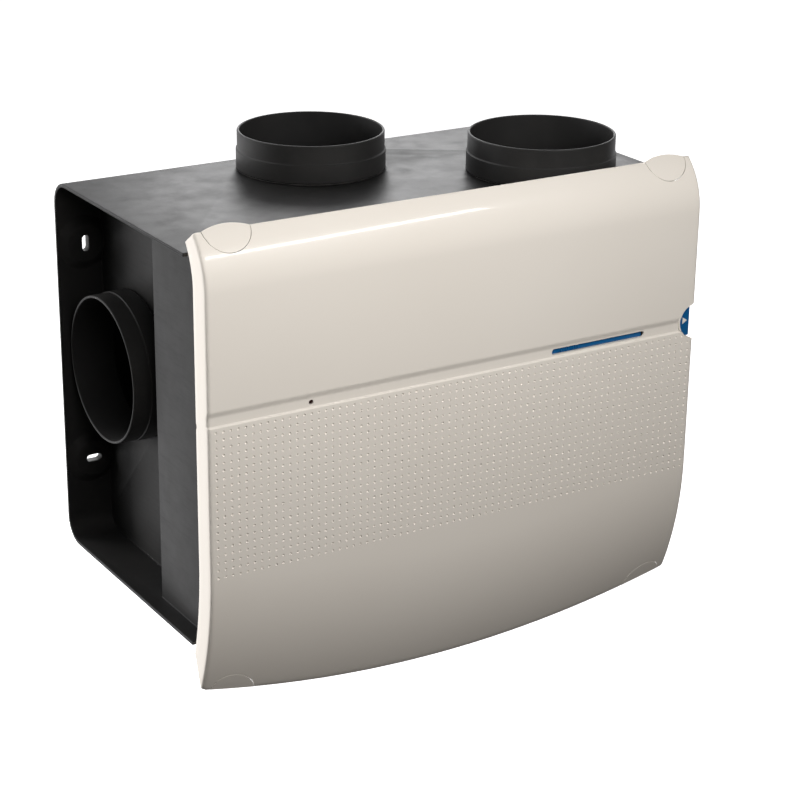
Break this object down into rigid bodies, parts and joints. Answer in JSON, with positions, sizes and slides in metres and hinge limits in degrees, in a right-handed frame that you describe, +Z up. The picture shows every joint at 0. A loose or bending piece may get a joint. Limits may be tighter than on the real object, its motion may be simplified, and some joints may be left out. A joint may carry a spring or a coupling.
{
  "type": "wall-hung extract box fan",
  "caption": "Wall-hung box fan for ducted house extract, with round duct spigots, a centrifugal fan, a control box and a curved lift-off front cover with a sliding latch.",
  "frame": {"origin": "middle of the back plate on its wall face", "axes": "+X to the right as the unit is faced, +Y into the wall, +Z up"},
  "size_m": [0.462, 0.276, 0.416],
  "materials": {
    "dark_plastic": "satin moulded plastic",
    "cream_plastic": "gloss moulded plastic",
    "blue_plastic": "satin",
    "black_plastic": "satin",
    "grey_plastic": "satin",
    "seal_rubber": "matte",
    "zinc_steel": "zinc plated",
    "cast_aluminium": "cast",
    "board_green": "solder mask",
    "lens_smoke": "clear smoked"
  },
  "bodies": {
    "housing": {"rear_housing": "dark_plastic", "spigot_top_rear": "dark_plastic", "spigot_top_front": "dark_plastic", "spigot_left": "dark_plastic", "spigot_right": "dark_plastic", "spigot_seal_top_rear": "seal_rubber", "spigot_seal_top_front": "seal_rubber", "spigot_seal_left": "seal_rubber", "spigot_seal_right": "seal_rubber", "panel_gasket": "seal_rubber", "front_panel": "dark_plastic", "panel_screw_1": "zinc_steel", "panel_screw_2": "zinc_steel", "panel_screw_3": "zinc_steel", "panel_screw_4": "zinc_steel", "scroll_shell": "black_plastic", "inlet_ring": "grey_plastic", "outlet_sleeve": "seal_rubber", "vibration_mount_1": "seal_rubber", "vibration_mount_2": "seal_rubber", "vibration_mount_3": "seal_rubber", "vibration_mount_4": "seal_rubber", "motor_plate": "zinc_steel", "plate_screw_1": "zinc_steel", "plate_screw_2": "zinc_steel", "plate_screw_3": "zinc_steel", "motor_stator": "cast_aluminium", "bearing_front": "zinc_steel", "bearing_rear": "zinc_steel", "control_board": "board_green", "transformer": "black_plastic", "relay": "blue_plastic", "terminal_block": "grey_plastic", "choke": "zinc_steel", "capacitor": "black_plastic", "control_lid": "black_plastic", "cable_gland": "grey_plastic", "gland_nut": "grey_plastic", "corner_clip_1": "cream_plastic", "corner_clip_2": "cream_plastic", "corner_clip_3": "cream_plastic", "corner_clip_4": "cream_plastic"},
    "fan": {"impeller": "black_plastic", "motor_rotor": "cast_aluminium", "motor_shaft": "zinc_steel"},
    "cover": {"front_cover": "cream_plastic", "indicator_lens": "lens_smoke", "latch_guide_1": "grey_plastic", "latch_guide_2": "grey_plastic"},
    "latch": {"latch_slide": "blue_plastic"},
    "knob_1": {"speed_knob_1": "grey_plastic"},
    "knob_2": {"speed_knob_2": "grey_plastic"},
    "knob_3": {"speed_knob_3": "grey_plastic"}
  },
  "joints": [
    {"name": "fan_spin", "type": "hinge", "parent": "housing", "child": "fan", "pos_m": [0.044, -0.216, -0.028], "axis": [0, -1, 0], "continuous": true},
    {"name": "cover_lift", "type": "slide", "parent": "housing", "child": "cover", "axis": [0, -1, 0], "range_m": [0, 0.1]},
    {"name": "latch_travel", "type": "slide", "parent": "cover", "child": "latch", "axis": [1, 0, 0], "range_m": [0, 0.01]},
    {"name": "knob_1_turn", "type": "hinge", "parent": "housing", "child": "knob_1", "pos_m": [-0.168, -0.25, -0.02], "axis": [0, -1, 0], "range_deg": [-135, 135]},
    {"name": "knob_2_turn", "type": "hinge", "parent": "housing", "child": "knob_2", "pos_m": [-0.148, -0.25, -0.02], "axis": [0, -1, 0], "range_deg": [-135, 135]},
    {"name": "knob_3_turn", "type": "hinge", "parent": "housing", "child": "knob_3", "pos_m": [-0.128, -0.25, -0.02], "axis": [0, -1, 0], "range_deg": [-135, 135]}
  ]
}
